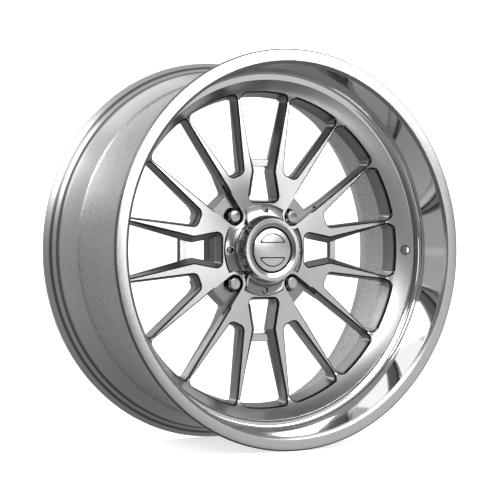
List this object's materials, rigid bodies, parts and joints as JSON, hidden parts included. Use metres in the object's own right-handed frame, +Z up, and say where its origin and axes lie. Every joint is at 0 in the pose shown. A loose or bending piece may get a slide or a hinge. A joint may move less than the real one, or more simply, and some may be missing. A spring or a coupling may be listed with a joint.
{
  "type": "wheel rim",
  "caption": "Forged alloy wheel rim with a deep polished dish, thin paired spokes, conical-seat lug nuts and a bolted centre cap.",
  "frame": {"origin": "centre of the wheel, on the axle line midway between the two flange faces", "axes": "+Y along the axle towards the vehicle, -Y to the street side, +Z up, +X to the right seen from the street side, with the valve hole on +X"},
  "size_m": [0.645, 0.2708, 0.645],
  "materials": {
    "polished_aluminium": "mirror-polished dish and lip, fine satin on the tyre side",
    "brushed_aluminium": "machined face with fine turning marks, polished window walls",
    "cap_aluminium": "polished, bright turned bezel",
    "badge_aluminium": "satin, two sunken panels",
    "nut_chrome": "satin chrome",
    "plain_steel": "plain machined steel",
    "seal_rubber": "matt"
  },
  "bodies": {
    "wheel": {"rim_barrel": "polished_aluminium", "forged_centre": "brushed_aluminium", "lug_seat_insert_1": "plain_steel", "lug_seat_insert_2": "plain_steel", "lug_seat_insert_3": "plain_steel", "lug_seat_insert_4": "plain_steel"},
    "cap": {"cap_body": "cap_aluminium", "cap_badge": "badge_aluminium", "cap_snap_ring": "plain_steel", "cap_seal": "seal_rubber"},
    "nut_1": {"lug_nut_1": "nut_chrome"},
    "nut_2": {"lug_nut_2": "nut_chrome"},
    "nut_3": {"lug_nut_3": "nut_chrome"},
    "nut_4": {"lug_nut_4": "nut_chrome"},
    "screw_1": {"cap_screw_1": "plain_steel"},
    "screw_2": {"cap_screw_2": "plain_steel"},
    "screw_3": {"cap_screw_3": "plain_steel"},
    "screw_4": {"cap_screw_4": "plain_steel"}
  },
  "joints": [
    {"name": "cap_pull", "type": "slide", "parent": "wheel", "child": "cap", "axis": [0, -1, 0], "range_m": [0, 0.13]},
    {"name": "nut_1_turn", "type": "hinge", "parent": "wheel", "child": "nut_1", "pos_m": [0.05515, -0.02, 0.05515], "axis": [0, -1, 0], "continuous": true},
    {"name": "nut_2_turn", "type": "hinge", "parent": "wheel", "child": "nut_2", "pos_m": [0.05515, -0.02, -0.05515], "axis": [0, -1, 0], "continuous": true},
    {"name": "nut_3_turn", "type": "hinge", "parent": "wheel", "child": "nut_3", "pos_m": [-0.05515, -0.02, -0.05515], "axis": [0, -1, 0], "continuous": true},
    {"name": "nut_4_turn", "type": "hinge", "parent": "wheel", "child": "nut_4", "pos_m": [-0.05515, -0.02, 0.05515], "axis": [0, -1, 0], "continuous": true},
    {"name": "screw_1_turn", "type": "hinge", "parent": "cap", "child": "screw_1", "pos_m": [0, -0.03, 0.067], "axis": [0, -1, 0], "continuous": true},
    {"name": "screw_2_turn", "type": "hinge", "parent": "cap", "child": "screw_2", "pos_m": [0.067, -0.03, 0], "axis": [0, -1, 0], "continuous": true},
    {"name": "screw_3_turn", "type": "hinge", "parent": "cap", "child": "screw_3", "pos_m": [0, -0.03, -0.067], "axis": [0, -1, 0], "continuous": true},
    {"name": "screw_4_turn", "type": "hinge", "parent": "cap", "child": "screw_4", "pos_m": [-0.067, -0.03, 0], "axis": [0, -1, 0], "continuous": true}
  ]
}
